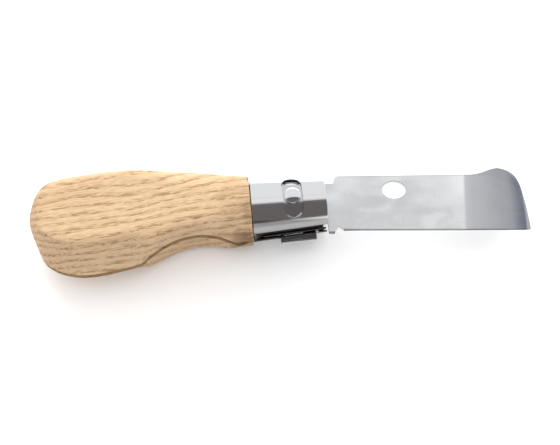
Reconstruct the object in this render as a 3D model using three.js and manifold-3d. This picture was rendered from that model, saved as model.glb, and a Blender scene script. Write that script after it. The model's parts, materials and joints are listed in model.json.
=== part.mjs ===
// Folding hoof knife with a turning lock ring: an ash handle, a wide scraping blade that folds
// into it, a steel collar at the joint and a ring on the collar that locks the blade.
//
// Millimetres, +Z up. Every piece is drawn from the collar's own centre: +X runs along the
// collar's axis towards the blade, +Y is the side of the handle's back and of the blade's spine,
// and the blade and its saw slot lie in the plane Z = 0. The finished model is then moved so
// that it lies on Z = 0 over the middle of its footprint, blade open and ring unlocked.
import * as THREE from 'three';
import { mergeVertices } from 'three/addons/utils/BufferGeometryUtils.js';
import { ParametricGeometry } from 'three/addons/geometries/ParametricGeometry.js';
import Module from 'manifold-3d';

const wasm = await Module();
wasm.setup();

// ---------------------------------------------------------------- sizes

// Clearances
const FIT_GAP = 0.3;            // between two pieces that are fixed to each other
const RING_CLEARANCE = 0.25;    // between the ferrule and the ring that turns on it
const KERF_CLEARANCE = 0.2;     // between each side of the blade and its saw slot

// Collar: a cone, wide at the wood and narrower at the blade
const COLLAR_REAR = -15;        // rear edge of the ring, from the pivot
const COLLAR_FRONT = 12.2;      // front edge of the ring
const COLLAR_REAR_RADIUS = 11.8;
const COLLAR_FRONT_RADIUS = 10.2;
const RING_WALL = 0.8;
const FERRULE_WALL = 0.8;
const FERRULE_REAR = -11.5;     // stops short, so that the folded blade's heel has room
const FERRULE_FRONT_INSET = 0.4;
const FERRULE_SLOT = 3.0;

// Lock ring
const RING_TURN = 28;           // degrees each way from the unlocked place
const RING_GAP = 6.2;
const LIP_REAR = -5.2;
const LIP_FRONT = 8.1;
const LIP_HEIGHT = 2.2;
const LIP_FLARE = 20;           // degrees
const RELIEF_WIDTH = 1.1;
const RELIEF_DEPTH = 2.3;

// Pivot rivet
const PIVOT_DROP = 0.4;         // below the collar's axis
const SHANK_RADIUS = 2.0;
const HEAD_RADIUS = 3.15;
const HEAD_RISE = 0.7;          // top of the head above the ring
const HEAD_CROWN = 1.05;        // height of its domed part
const HEAD_SIDE_CLEARANCE = 0.5;

// Blade, measured from the pivot along the blade
const BLADE_DROOP = 4.5;        // degrees that the open blade points below the collar's axis
const BLADE_THICKNESS = 2.0;
const BLADE_REACH = 87.4;       // pivot to the end of the blade
const SPINE = 12.9;             // pivot to the spine
const EDGE_HEEL = 9.3;          // pivot to the cutting edge at the heel
const EDGE_TIP = 10.1;          // and at the tip
const TIP_CORNER = 0.5;
const HUMP_RISE = 2.8;          // how far the hump stands above the spine
const HUMP_FROM_END = 9.0;
const HUMP_RUN = 11.5;
const NECK_BACK = 9.8;          // neck in front of the collar, above the pivot
const NECK_FRONT = 10.4;        // and below it
const NECK_PAST_RING = 0.5;     // the folded neck ends this far behind the ring
const TANG_RADIUS = 6.5;        // round rear end of the tang
const TANG_FRONT = 6.2;         // pivot to the tang's lower edge
const NOTCH_DEPTH = 1.1;
const HOLE_X = 38.2;            // oval hole for finger or lanyard
const HOLE_Y = 6.7;
const HOLE_LENGTH = 8.8;
const HOLE_HEIGHT = 7.2;

// Handle
const SHOULDER_X = COLLAR_REAR - FIT_GAP;
const SHOULDER_PROUD = 0.9;     // how far the wood stands over the collar at back and belly
const SHOULDER_SIDE_PROUD = 0.1; // and at the cheeks
const SHOULDER_RADIUS = COLLAR_REAR_RADIUS + SHOULDER_PROUD;
const SHOULDER_HALF = COLLAR_REAR_RADIUS + SHOULDER_SIDE_PROUD;
const HANDLE_LENGTH = 80.9;     // wood behind the collar
const CHEEK_HALF = 10.3;        // half of the thickness over the flat cheeks
const NECK_HALF = 10.7;         // half of the thickness at the waist
const BACK_HEIGHT = 18.2;       // collar's axis to the back
const BELLY_DEPTH = 19.2;       // collar's axis to the belly
const BUTT_CENTRE = 1.5;        // height of the end of the butt
const BUTT_ROUND = 7.0;
const BACK_ROUND = 6.0;
const BELLY_ROUND = 8.0;
const GROOVE_REAR = 42.2;       // finger groove: rear end, top and front end, from the collar
const GROOVE_TOP_X = 19.7;
const GROOVE_FRONT = 4.2;
const GROOVE_TOP_Y = 8.8;       // collar's axis to the top of the groove
const TENON_INSET = 1.2;        // wood stops this far inside the collar's front edge
const KERF_END_WALL = 2.4;      // room between the folded blade's end and the end of its slot

// ---------------------------------------------------------------- helpers

const DEG = Math.PI / 180;
const ROUND_STEPS = 64;

function solid(geometry) {
  const bare = geometry.clone();
  bare.deleteAttribute('normal');
  bare.deleteAttribute('uv');
  const merged = mergeVertices(bare, 1e-4);
  const positions = merged.getAttribute('position').array;
  const corner = (i) => new THREE.Vector3().fromArray(positions, 3 * i);
  const triangles = [];
  let volume = 0;
  for (let i = 0; i < merged.index.count; i += 3) {
    const [a, b, c] = merged.index.array.subarray(i, i + 3);
    if (a === b || b === c || c === a) continue;
    triangles.push([a, b, c]);
    volume += corner(a).dot(corner(b).cross(corner(c)));
  }
  const outward = volume < 0 ? triangles.map(([a, b, c]) => [a, c, b]) : triangles;
  return new wasm.Manifold(new wasm.Mesh({
    numProp: 3,
    vertProperties: Float32Array.from(positions),
    triVerts: Uint32Array.from(outward.flat()),
  }));
}

function geometryOf(body) {
  const mesh = body.getMesh();
  const geometry = new THREE.BufferGeometry();
  geometry.setAttribute('position', new THREE.BufferAttribute(mesh.vertProperties, 3));
  geometry.setIndex(new THREE.BufferAttribute(mesh.triVerts, 1));
  geometry.computeVertexNormals();
  return geometry;
}

function box(low, high) {
  const size = new THREE.Vector3().subVectors(high, low);
  const centre = new THREE.Vector3().addVectors(low, high).multiplyScalar(0.5);
  return new THREE.BoxGeometry(...size).translate(...centre);
}

// A profile of [radius, along] pairs, turned about the X axis.
function turnedAboutX(profile) {
  const points = profile.map(([radius, along]) => new THREE.Vector2(radius, along));
  return new THREE.LatheGeometry(points, ROUND_STEPS).rotateZ(-Math.PI / 2);
}

// A flat outline cut from a plate of the given thickness, centred on Z = 0.
function plate(outline, thickness) {
  const settings = { depth: thickness, bevelEnabled: false, curveSegments: 14 };
  return new THREE.ExtrudeGeometry(outline, settings).translate(0, 0, -thickness / 2);
}

function node(name, geometry, color, roughness, metalness) {
  const mesh = new THREE.Mesh(
    geometry, new THREE.MeshStandardMaterial({ color, roughness, metalness }));
  mesh.name = name;
  return mesh;
}

// ---------------------------------------------------------------- collar cone

function ringRadius(x) {
  const along = (x - COLLAR_REAR) / (COLLAR_FRONT - COLLAR_REAR);
  return THREE.MathUtils.lerp(COLLAR_REAR_RADIUS, COLLAR_FRONT_RADIUS, along);
}

const ferruleRadius = (x) => ringRadius(x) - RING_WALL - RING_CLEARANCE;
const tenonRadius = (x) => ferruleRadius(x) - FERRULE_WALL - FIT_GAP;

function coneShell(rear, front, outerRadius, wall) {
  return turnedAboutX([
    [outerRadius(rear) - wall, rear],
    [outerRadius(rear), rear],
    [outerRadius(front), front],
    [outerRadius(front) - wall, front],
    [outerRadius(rear) - wall, rear],
  ]);
}

function coneSolid(rear, front, radius) {
  return turnedAboutX([[0, rear], [radius(rear), rear], [radius(front), front], [0, front]]);
}

// A cut that runs the collar's whole length on its lower side.
function lowerCut(width) {
  const reach = COLLAR_REAR_RADIUS + LIP_HEIGHT + 1;
  return box(
    new THREE.Vector3(COLLAR_REAR - 1, -reach, -width / 2),
    new THREE.Vector3(COLLAR_FRONT + 1, 0, width / 2));
}

function pivotHole(radius) {
  const length = 4 * COLLAR_REAR_RADIUS;
  return new THREE.CylinderGeometry(radius, radius, length, 32)
    .rotateX(Math.PI / 2).translate(0, -PIVOT_DROP, 0);
}

// ---------------------------------------------------------------- ferrule

function ferruleBody() {
  const front = COLLAR_FRONT - FERRULE_FRONT_INSET;
  return solid(coneShell(FERRULE_REAR, front, ferruleRadius, FERRULE_WALL))
    .subtract(solid(lowerCut(FERRULE_SLOT)))
    .subtract(solid(pivotHole(SHANK_RADIUS + FIT_GAP)));
}

// ---------------------------------------------------------------- lock ring

// Slot across the ring that the rivet's heads stand in: it is long enough for the ring to turn
// both ways, and its ends are as round as the heads.
function headSlot() {
  const halfWidth = HEAD_RADIUS + HEAD_SIDE_CLEARANCE;
  const headHalfAngle = Math.asin((HEAD_RADIUS + HEAD_SIDE_CLEARANCE / 2) / ringRadius(0));
  const halfLength = ringRadius(0) * Math.sin(RING_TURN * DEG + headHalfAngle);
  const straight = halfLength - halfWidth;
  const outline = new THREE.Shape();
  outline.absarc(0, straight - PIVOT_DROP, halfWidth, 0, Math.PI);
  outline.absarc(0, -straight - PIVOT_DROP, halfWidth, Math.PI, 2 * Math.PI);
  return plate(outline, 4 * COLLAR_REAR_RADIUS);
}

// Thumb lip, bent outwards from the edge of the ring's gap on the -Z side.
function thumbLip() {
  const middle = (LIP_REAR + LIP_FRONT) / 2;
  const rooted = RING_WALL / 2;
  const height = LIP_HEIGHT + rooted;
  const edgeDrop = Math.sqrt(ringRadius(middle) ** 2 - ((RING_GAP + RING_WALL) / 2) ** 2);
  return new THREE.BoxGeometry(LIP_FRONT - LIP_REAR, height, RING_WALL)
    .translate(0, -height / 2, -RING_WALL / 2)
    .rotateX(LIP_FLARE * DEG)
    .rotateZ(Math.atan((ringRadius(0) - ringRadius(1))))
    .translate(middle, rooted - edgeDrop, -RING_GAP / 2);
}

function lipRelief(rear) {
  const halfDepth = RING_GAP / 2 + RELIEF_DEPTH;
  return box(
    new THREE.Vector3(rear, -COLLAR_REAR_RADIUS - 1, -halfDepth),
    new THREE.Vector3(rear + RELIEF_WIDTH, 0, 0));
}

function ringBody() {
  return solid(coneShell(COLLAR_REAR, COLLAR_FRONT, ringRadius, RING_WALL))
    .subtract(solid(lowerCut(RING_GAP)))
    .subtract(solid(headSlot()))
    .subtract(solid(lipRelief(LIP_REAR - RELIEF_WIDTH)))
    .subtract(solid(lipRelief(LIP_FRONT)))
    .add(solid(thumbLip()));
}

// ---------------------------------------------------------------- pivot rivet

// A domed head on the +Z side, its underside shaped to sit on the ferrule.
function rivetHead() {
  const top = ringRadius(0) + HEAD_RISE;
  const edge = top - HEAD_CROWN;
  const sphereRadius = (HEAD_RADIUS ** 2 + HEAD_CROWN ** 2) / (2 * HEAD_CROWN);
  const halfAngle = Math.asin(HEAD_RADIUS / sphereRadius);
  const steps = 6;
  const profile = [new THREE.Vector2(0, 0), new THREE.Vector2(HEAD_RADIUS, 0)];
  for (let i = 0; i <= steps; i++) {
    const angle = halfAngle * (1 - i / steps);
    const height = edge + HEAD_CROWN - sphereRadius * (1 - Math.cos(angle));
    profile.push(new THREE.Vector2(i === steps ? 0 : sphereRadius * Math.sin(angle), height));
  }
  return new THREE.LatheGeometry(profile, 40)
    .rotateX(Math.PI / 2).translate(0, -PIVOT_DROP, 0);
}

function rivetBody() {
  const seat = solid(coneSolid(COLLAR_REAR, COLLAR_FRONT, (x) => ferruleRadius(x) + FIT_GAP));
  const near = solid(rivetHead()).subtract(seat);
  const far = solid(rivetHead().rotateX(Math.PI).translate(0, -2 * PIVOT_DROP, 0)).subtract(seat);
  const shankLength = 2 * (ferruleRadius(0) + 2 * FIT_GAP);
  const shank = new THREE.CylinderGeometry(SHANK_RADIUS, SHANK_RADIUS, shankLength, 32)
    .rotateX(Math.PI / 2).translate(0, -PIVOT_DROP, 0);
  return solid(shank).add(near).add(far);
}

// ---------------------------------------------------------------- blade

// A point given in the collar's directions, seen from the drooping blade.
function besideCollar(x, y) {
  return new THREE.Vector2(x, y + PIVOT_DROP).rotateAround(new THREE.Vector2(), BLADE_DROOP * DEG);
}

const neckStart = COLLAR_FRONT + FIT_GAP;
const neckEnd = NECK_PAST_RING - COLLAR_REAR;
const kerfTopFront = TANG_RADIUS - PIVOT_DROP + FIT_GAP;

function bladeOutline() {
  const tangTop = kerfTopFront - FIT_GAP;
  const fall = PIVOT_DROP + neckStart * Math.tan(BLADE_DROOP * DEG);
  const neckBack = besideCollar(neckStart, tangTop);
  const neckBackTop = besideCollar(neckStart, NECK_BACK - fall);
  const neckFront = besideCollar(neckStart, -TANG_FRONT - fall);
  const neckFrontLow = besideCollar(neckStart, -NECK_FRONT - fall);
  const notchMiddle = neckEnd + 1.4;
  const notchTop = NOTCH_DEPTH - EDGE_HEEL;
  const humpX = BLADE_REACH - HUMP_FROM_END;
  const humpY = SPINE + HUMP_RISE;
  const spineEnd = humpX - HUMP_RUN;

  const outline = new THREE.Shape();
  outline.moveTo(neckBack.x, neckBack.y);
  outline.lineTo(neckBackTop.x, neckBackTop.y);
  outline.lineTo(neckEnd, NECK_BACK);
  outline.quadraticCurveTo(neckEnd + 0.4, SPINE, neckEnd + 2, SPINE);
  outline.lineTo(spineEnd, SPINE);
  outline.bezierCurveTo(spineEnd + 6, SPINE + 0.2, humpX - 4, humpY, humpX, humpY);
  outline.bezierCurveTo(humpX + 4.6, humpY, BLADE_REACH - 2.2, SPINE - 0.4, BLADE_REACH - 1.3, 7.5);
  outline.quadraticCurveTo(
    BLADE_REACH - 0.2, 0.5, BLADE_REACH, TIP_CORNER - EDGE_TIP);
  outline.quadraticCurveTo(BLADE_REACH, -EDGE_TIP, BLADE_REACH - TIP_CORNER, -EDGE_TIP);
  outline.lineTo(neckEnd + 3.4, -EDGE_HEEL);
  outline.quadraticCurveTo(notchMiddle + 0.4, notchTop, notchMiddle, notchTop);
  outline.quadraticCurveTo(notchMiddle - 0.6, notchTop, neckEnd, -NECK_FRONT);
  outline.lineTo(neckFrontLow.x, neckFrontLow.y);
  outline.lineTo(neckFront.x, neckFront.y);
  const lowerStart = Math.asin(TANG_FRONT / TANG_RADIUS);
  outline.absarc(0, 0, TANG_RADIUS, -lowerStart, Math.PI / 2 + BLADE_DROOP * DEG, true);
  outline.closePath();

  outline.holes.push(new THREE.Path().absarc(0, 0, SHANK_RADIUS + FIT_GAP, 0, 2 * Math.PI));
  outline.holes.push(new THREE.Path()
    .absellipse(HOLE_X, HOLE_Y, HOLE_LENGTH / 2, HOLE_HEIGHT / 2, 0, 2 * Math.PI));
  return outline;
}

// ---------------------------------------------------------------- handle

const along = (share) => SHOULDER_X - share * HANDLE_LENGTH;
const buttPole = new THREE.Vector2(along(1), BUTT_CENTRE);

// Edges of the handle in the blade's plane, from the butt to the collar. Both have the same
// number of points, so that the sections between them stand nearly upright.
const backEdge = new THREE.SplineCurve([
  buttPole,
  new THREE.Vector2(along(0.983), 0.46 * BACK_HEIGHT),
  new THREE.Vector2(along(0.917), 0.81 * BACK_HEIGHT),
  new THREE.Vector2(along(0.80), 0.94 * BACK_HEIGHT),
  new THREE.Vector2(along(0.60), BACK_HEIGHT),
  new THREE.Vector2(along(0.38), 0.955 * BACK_HEIGHT),
  new THREE.Vector2(along(0.22), 0.88 * BACK_HEIGHT),
  new THREE.Vector2(along(0.085), SHOULDER_RADIUS + 1.3),
  new THREE.Vector2(SHOULDER_X, SHOULDER_RADIUS),
]);
const bellyEdge = new THREE.SplineCurve([
  buttPole,
  new THREE.Vector2(along(0.977), -0.28 * BELLY_DEPTH),
  new THREE.Vector2(along(0.917), -0.69 * BELLY_DEPTH),
  new THREE.Vector2(along(0.80), -0.95 * BELLY_DEPTH),
  new THREE.Vector2(along(0.60), -BELLY_DEPTH),
  new THREE.Vector2(along(0.38), -0.88 * BELLY_DEPTH),
  new THREE.Vector2(along(0.22), -0.77 * BELLY_DEPTH),
  new THREE.Vector2(along(0.085), -SHOULDER_RADIUS - 0.8),
  new THREE.Vector2(SHOULDER_X, -SHOULDER_RADIUS),
]);

// One cross-section: upper and lower end in the blade's plane, half of the thickness, and the
// rounding of its upper and lower corners.
function handleSection(share) {
  const back = backEdge.getPoint(share);
  const belly = bellyEdge.getPoint(share);
  const x = (back.x + belly.x) / 2;
  const fromButt = Math.min(1, (x - buttPole.x) / BUTT_ROUND);
  const waist = THREE.MathUtils.smoothstep(x, along(0.6), along(0.2));
  const flare = THREE.MathUtils.smoothstep(x, along(0.2), SHOULDER_X);
  const cheek = THREE.MathUtils.lerp(CHEEK_HALF, NECK_HALF, waist);
  const half = THREE.MathUtils.lerp(cheek, SHOULDER_HALF, flare)
    * Math.sqrt(1 - (1 - fromButt) ** 2);
  const fullRound = Math.min(half, back.distanceTo(belly) / 2);
  const backRound = Math.min(fullRound, THREE.MathUtils.lerp(BACK_ROUND, fullRound, waist));
  const bellyRound = Math.min(fullRound, THREE.MathUtils.lerp(BELLY_ROUND, fullRound, waist));
  return { back, belly, half, backRound, bellyRound };
}

function roundSection(x, radius) {
  return {
    back: new THREE.Vector2(x, radius),
    belly: new THREE.Vector2(x, -radius),
    half: radius,
    backRound: radius,
    bellyRound: radius,
  };
}

// A point on a section's rounded rectangle. turn runs once round it from its upper end; each
// quarter is one corner's arc and then one straight step to the next corner.
function pointOnSection(section, turn, target) {
  const arcShare = 0.9;
  const quarter = Math.min(3, Math.floor(turn * 4));
  const within = turn * 4 - quarter;
  const corner = (which, share) => {
    const k = which % 4;
    const upper = k === 0 || k === 3;
    const radius = upper ? section.backRound : section.bellyRound;
    const angle = (k + share) * Math.PI / 2;
    const height = section.back.distanceTo(section.belly);
    const centreUp = upper ? height - radius : radius;
    const centreOut = (k < 2 ? 1 : -1) * (section.half - radius);
    return [centreUp + radius * Math.cos(angle), centreOut + radius * Math.sin(angle), height];
  };
  const [up, out, height] = corner(quarter, Math.min(1, within / arcShare));
  const [nextUp, nextOut] = corner(quarter + 1, 0);
  const step = Math.max(0, (within - arcShare) / (1 - arcShare));
  const share = height > 0 ? THREE.MathUtils.lerp(up, nextUp, step) / height : 0;
  target.set(
    THREE.MathUtils.lerp(section.belly.x, section.back.x, share),
    THREE.MathUtils.lerp(section.belly.y, section.back.y, share),
    THREE.MathUtils.lerp(out, nextOut, step));
}

function handleBlank() {
  const sections = [];
  const steps = 34;
  for (let i = 0; i <= steps; i++) {
    sections.push(handleSection((i / steps) ** 1.25));
  }
  const tenonEnd = COLLAR_FRONT - TENON_INSET;
  sections.push(roundSection(SHOULDER_X, tenonRadius(SHOULDER_X)));
  sections.push(roundSection(tenonEnd, tenonRadius(tenonEnd)));
  sections.push(roundSection(tenonEnd, 0));
  const last = sections.length - 1;
  return new ParametricGeometry(
    (turn, share, target) => pointOnSection(sections[Math.round(share * last)], turn, target),
    40, last);
}

// Finger groove, cut straight across the belly where the folded blade's spine stands out.
function fingerGroove() {
  const rear = SHOULDER_X - GROOVE_REAR;
  const top = SHOULDER_X - GROOVE_TOP_X;
  const front = SHOULDER_X - GROOVE_FRONT;
  const below = -2 * BELLY_DEPTH;
  const outline = new THREE.Shape();
  outline.moveTo(rear, below);
  outline.lineTo(rear, -BELLY_DEPTH - 0.8);
  outline.bezierCurveTo(
    rear + 7, -BELLY_DEPTH + 5.8, top - 9, -GROOVE_TOP_Y, top, -GROOVE_TOP_Y);
  outline.bezierCurveTo(
    top + 6, -GROOVE_TOP_Y, front - 6, -SHOULDER_RADIUS + 1.5, front, -SHOULDER_RADIUS - 1.6);
  outline.lineTo(front, below);
  outline.closePath();
  return plate(outline, 6 * CHEEK_HALF);
}

// Saw slot for the folded blade: shallow over the tang, which it stops when the blade is open,
// and deeper behind it.
function bladeKerf() {
  const foldedHeel = NECK_FRONT - PIVOT_DROP;
  const kerfTopRear = foldedHeel + FIT_GAP;
  const kerfStep = -COLLAR_FRONT;
  const kerfEnd = -BLADE_REACH - KERF_END_WALL;
  const below = -2 * BELLY_DEPTH;
  const outline = new THREE.Shape();
  outline.moveTo(COLLAR_FRONT, below);
  outline.lineTo(COLLAR_FRONT, kerfTopFront);
  outline.lineTo(kerfStep, kerfTopFront);
  outline.lineTo(kerfStep, kerfTopRear);
  outline.lineTo(kerfEnd, kerfTopRear);
  outline.lineTo(kerfEnd, below);
  outline.closePath();
  return plate(outline, BLADE_THICKNESS + 2 * KERF_CLEARANCE);
}

function handleBody() {
  return solid(handleBlank())
    .subtract(solid(fingerGroove()))
    .subtract(solid(bladeKerf()))
    .subtract(solid(pivotHole(SHANK_RADIUS + FIT_GAP)));
}

// ---------------------------------------------------------------- assembly

const model = new THREE.Group();
model.add(node('handle', geometryOf(handleBody()), 0xd9b27c, 0.6, 0.0));
model.add(node('ferrule', geometryOf(ferruleBody()), 0xa9a9ac, 0.3, 1.0));
model.add(node('lock_ring', geometryOf(ringBody()), 0xc4c4c6, 0.12, 1.0));
model.add(node('pivot_rivet', geometryOf(rivetBody()), 0xc0c1c4, 0.15, 1.0));

const blade = node('blade', plate(bladeOutline(), BLADE_THICKNESS), 0xcbccce, 0.32, 1.0);
blade.position.set(0, -PIVOT_DROP, 0);
blade.rotation.z = -BLADE_DROOP * DEG;
model.add(blade);

const extent = new THREE.Box3().setFromObject(model, true);
const middle = extent.getCenter(new THREE.Vector3());
model.position.set(-middle.x, -middle.y, -extent.min.z);

export default model;
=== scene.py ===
# Folding hoof knife with a lock ring, lying open on a pale bench. The pieces are built in the
# order in which a maker fits them: handle, ferrule, rivet, blade, lock ring, then the studio.
import json
import math

import bpy
import numpy as np
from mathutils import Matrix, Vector


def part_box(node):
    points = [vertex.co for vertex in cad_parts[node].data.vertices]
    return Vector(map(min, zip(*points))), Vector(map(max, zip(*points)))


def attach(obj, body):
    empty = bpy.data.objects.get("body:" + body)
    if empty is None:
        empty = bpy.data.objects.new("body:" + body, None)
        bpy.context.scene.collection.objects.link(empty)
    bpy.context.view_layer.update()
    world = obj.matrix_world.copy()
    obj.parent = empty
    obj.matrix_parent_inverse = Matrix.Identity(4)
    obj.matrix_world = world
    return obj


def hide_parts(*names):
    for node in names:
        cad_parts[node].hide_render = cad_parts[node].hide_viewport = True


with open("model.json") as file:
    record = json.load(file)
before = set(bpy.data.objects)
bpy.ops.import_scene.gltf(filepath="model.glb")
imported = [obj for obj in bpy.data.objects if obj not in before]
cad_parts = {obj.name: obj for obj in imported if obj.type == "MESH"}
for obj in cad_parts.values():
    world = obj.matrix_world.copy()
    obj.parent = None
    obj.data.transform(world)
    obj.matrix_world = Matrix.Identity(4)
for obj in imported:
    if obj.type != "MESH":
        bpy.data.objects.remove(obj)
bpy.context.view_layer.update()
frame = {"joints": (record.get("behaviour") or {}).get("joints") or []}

# ---------------------------------------------------------------------------- handle
# One piece of ash, sawn and sanded, with flat cheeks, a pared belly and a round waist. The
# finger groove is milled straight across it, a saw cut takes the folded blade, and the turned
# tenon in front of the shoulder is driven into the ferrule.

joint = {j["name"]: j for j in frame["joints"]}
collar_centre = np.array(joint["ring_turn"]["pos_m"])
pivot_centre = np.array(joint["blade_fold"]["pos_m"])


def from_collar(x, y, z):
    """Points given in millimetres from the collar's centre, turned into metres in the frame."""
    return collar_centre + np.stack(np.broadcast_arrays(x, y, z), -1) / 1000


def collar_box(node):
    """A node's lowest and highest corner, in millimetres from the collar's centre."""
    return [(np.array(corner) - collar_centre) * 1000 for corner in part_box(node)]


def skin(name, loops, first_pole=None, last_pole=None, flat_ends=False):
    """A closed skin over a grid of points, loops by points on a loop. Neighbouring loops are
    joined by quads. A pole closes an end by a fan. flat_ends closes both ends of a plate, whose
    loops run along one side and come back along the other. The faces are turned so that the
    enclosed volume is positive."""
    rows, columns = loops.shape[:2]
    points = loops.reshape(-1, 3)
    index = np.arange(rows * columns).reshape(rows, columns)
    ahead = np.roll(index, -1, axis=1)
    quads = np.stack([index[:-1], ahead[:-1], ahead[1:], index[1:]], -1).reshape(-1, 4)
    faces = quads.tolist()
    corners = points[quads] - points.mean(0)
    normals = np.cross(corners[:, 2] - corners[:, 0], corners[:, 3] - corners[:, 1])
    inside_out = np.einsum("ij,ij->", corners.mean(1), normals) < 0
    if flat_ends:
        near, far = index[:, :columns // 2], index[:, :columns // 2 - 1:-1]
        strip = np.stack([near[:, :-1], near[:, 1:], far[:, 1:], far[:, :-1]], -1)
        faces += strip[0, :, ::-1].tolist() + strip[-1].tolist()
    if first_pole is not None:
        faces += np.stack([index[0], np.full(columns, len(points)), ahead[0]], -1).tolist()
        points = np.vstack([points, first_pole])
    if last_pole is not None:
        faces += np.stack([index[-1], ahead[-1], np.full(columns, len(points))], -1).tolist()
        points = np.vstack([points, last_pole])
    if inside_out:
        faces = [face[::-1] for face in faces]
    mesh = bpy.data.meshes.new(name)
    mesh.from_pydata(points, [], faces)
    piece = bpy.data.objects.new(name, mesh)
    bpy.context.scene.collection.objects.link(piece)
    return piece


def carve(piece, cutter, operation="DIFFERENCE"):
    """Cuts the cutter out of a piece, or joins it on, and removes the cutter."""
    modifier = piece.modifiers.new("carve", "BOOLEAN")
    modifier.operation = operation
    modifier.object = cutter
    modifier.solver = "EXACT"
    depsgraph = bpy.context.evaluated_depsgraph_get()
    result = bpy.data.meshes.new_from_object(piece.evaluated_get(depsgraph))
    piece.modifiers.clear()
    piece.data = result
    bpy.data.objects.remove(cutter)


def prism(outline, low, high, place):
    """A straight prism over a closed outline of (N, 2) points, from height low to height high.
    place turns three arrays of coordinates into points in metres."""
    loops = np.stack([place(outline[:, 0], outline[:, 1], level) for level in (low, high)])
    return skin("cutter", loops, loops[0].mean(0), loops[1].mean(0))


def soften(piece, crease_degrees):
    """Smooth shading, with creases where two faces meet at more than the given angle."""
    piece.data.polygons.foreach_set("use_smooth", [True] * len(piece.data.polygons))
    piece.data.set_sharp_from_angle(angle=math.radians(crease_degrees))


def cubic_spline(knots, per_span):
    """A natural cubic spline through (N, 2) knots, spaced by the length of their chords, at
    per_span points for each span. Its second derivatives solve one linear system."""
    knots = np.array(knots, float)
    step = np.linalg.norm(np.diff(knots, axis=0), axis=1)
    count = len(knots)
    system = np.eye(count)
    right = np.zeros_like(knots)
    for i in range(1, count - 1):
        system[i, i - 1:i + 2] = step[i - 1], 2 * (step[i - 1] + step[i]), step[i]
        ahead, behind = knots[i + 1] - knots[i], knots[i] - knots[i - 1]
        right[i] = 6 * (ahead / step[i] - behind / step[i - 1])
    bend = np.linalg.solve(system, right)
    span, share = np.divmod(np.linspace(0, count - 1, per_span * (count - 1) + 1), 1)
    span = np.minimum(span.astype(int), count - 2)
    share = np.where(np.arange(len(share)) == len(share) - 1, 1.0, share)[:, None]
    rest = 1 - share
    size = step[span][:, None] ** 2 / 6
    return (rest * knots[span] + share * knots[span + 1]
            + size * ((rest ** 3 - rest) * bend[span] + (share ** 3 - share) * bend[span + 1]))


def bezier(a, b, c, d, count=24):
    """Points on a cubic Bezier curve from a to d, with controls b and c."""
    t = np.linspace(0, 1, count)[:, None]
    a, b, c, d = (np.array(p, float) for p in (a, b, c, d))
    return a * (1 - t) ** 3 + 3 * b * t * (1 - t) ** 2 + 3 * c * t ** 2 * (1 - t) + d * t ** 3


def ease(value, low, high):
    """0 below low, 1 above high, and a smooth step between them."""
    t = np.clip((value - low) / (high - low), 0, 1)
    return t * t * (3 - 2 * t)


wood_low, wood_high = collar_box("handle")
ring_low, ring_high = collar_box("lock_ring")
joint_gap = 0.3
kerf_gap = 0.2
butt_x = wood_low[0]
tenon_x = wood_high[0]
shoulder_x = ring_low[0] - joint_gap
shoulder_half = wood_high[2]
shoulder_radius = 12.7
back_height = wood_high[1]
belly_depth = -wood_low[1] - 0.5
butt_centre = 1.5
butt_round = 7.0
cheek_half = 10.3
waist_half = 10.7
back_round = 6.0
belly_round = 8.0
pivot_drop = (collar_centre - pivot_centre)[1] * 1000


def wood_x(share):
    """Place along the wood, 0 at the shoulder and 1 at the butt."""
    return shoulder_x + share * (butt_x - shoulder_x)


# Outline in the blade's plane: belly from shoulder to butt, then back from butt to shoulder.
belly_knots = [
    (shoulder_x, -shoulder_radius),
    (wood_x(0.085), -shoulder_radius - 0.8),
    (wood_x(0.22), -0.77 * belly_depth),
    (wood_x(0.38), -0.88 * belly_depth),
    (wood_x(0.60), -belly_depth),
    (wood_x(0.80), -0.95 * belly_depth),
    (wood_x(0.917), -0.69 * belly_depth),
    (wood_x(0.977), -0.28 * belly_depth),
]
back_knots = [
    (butt_x, butt_centre),
    (wood_x(0.983), 0.46 * back_height),
    (wood_x(0.917), 0.81 * back_height),
    (wood_x(0.80), 0.94 * back_height),
    (wood_x(0.60), back_height),
    (wood_x(0.38), 0.955 * back_height),
    (wood_x(0.22), 0.88 * back_height),
    (wood_x(0.085), shoulder_radius + 1.3),
    (shoulder_x, shoulder_radius),
]
per_span = 30
outline = cubic_spline(belly_knots + back_knots, per_span)
pole = len(belly_knots) * per_span
first_station = 2
belly = outline[pole::-1][first_station:]
back = outline[pole:][first_station:]

height = np.linalg.norm(back - belly, axis=1)
upward = (back - belly) / height[:, None]
middle_x = (back[:, 0] + belly[:, 0]) / 2
waist = ease(-middle_x, -wood_x(0.2), -wood_x(0.6))
flare = ease(middle_x, wood_x(0.2), shoulder_x)
half = (waist_half + (cheek_half - waist_half) * waist) * (1 - flare) + shoulder_half * flare
from_butt = np.clip((middle_x - butt_x) / butt_round, 0, 1)
half = half * np.sqrt(1 - (1 - from_butt) ** 2)
full = np.minimum(half, height / 2)
upper = np.minimum(full, full + (back_round - full) * waist)
lower = np.minimum(full, full + (belly_round - full) * waist)

# The shoulder's edge is broken, its face runs in to the tenon, and the tenon tapers forward.
edge_break = 0.6
tenon_bevel = 0.3
tenon_fillet = 0.5
collar_front_radius = 10.2
collar_slope = (ring_high[2] - collar_front_radius) / (ring_low[0] - ring_high[0])


def ring_radius(x):
    """Outer radius of the lock ring's cone at a place along the collar."""
    return collar_front_radius + collar_slope * (x - ring_high[0])


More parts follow.
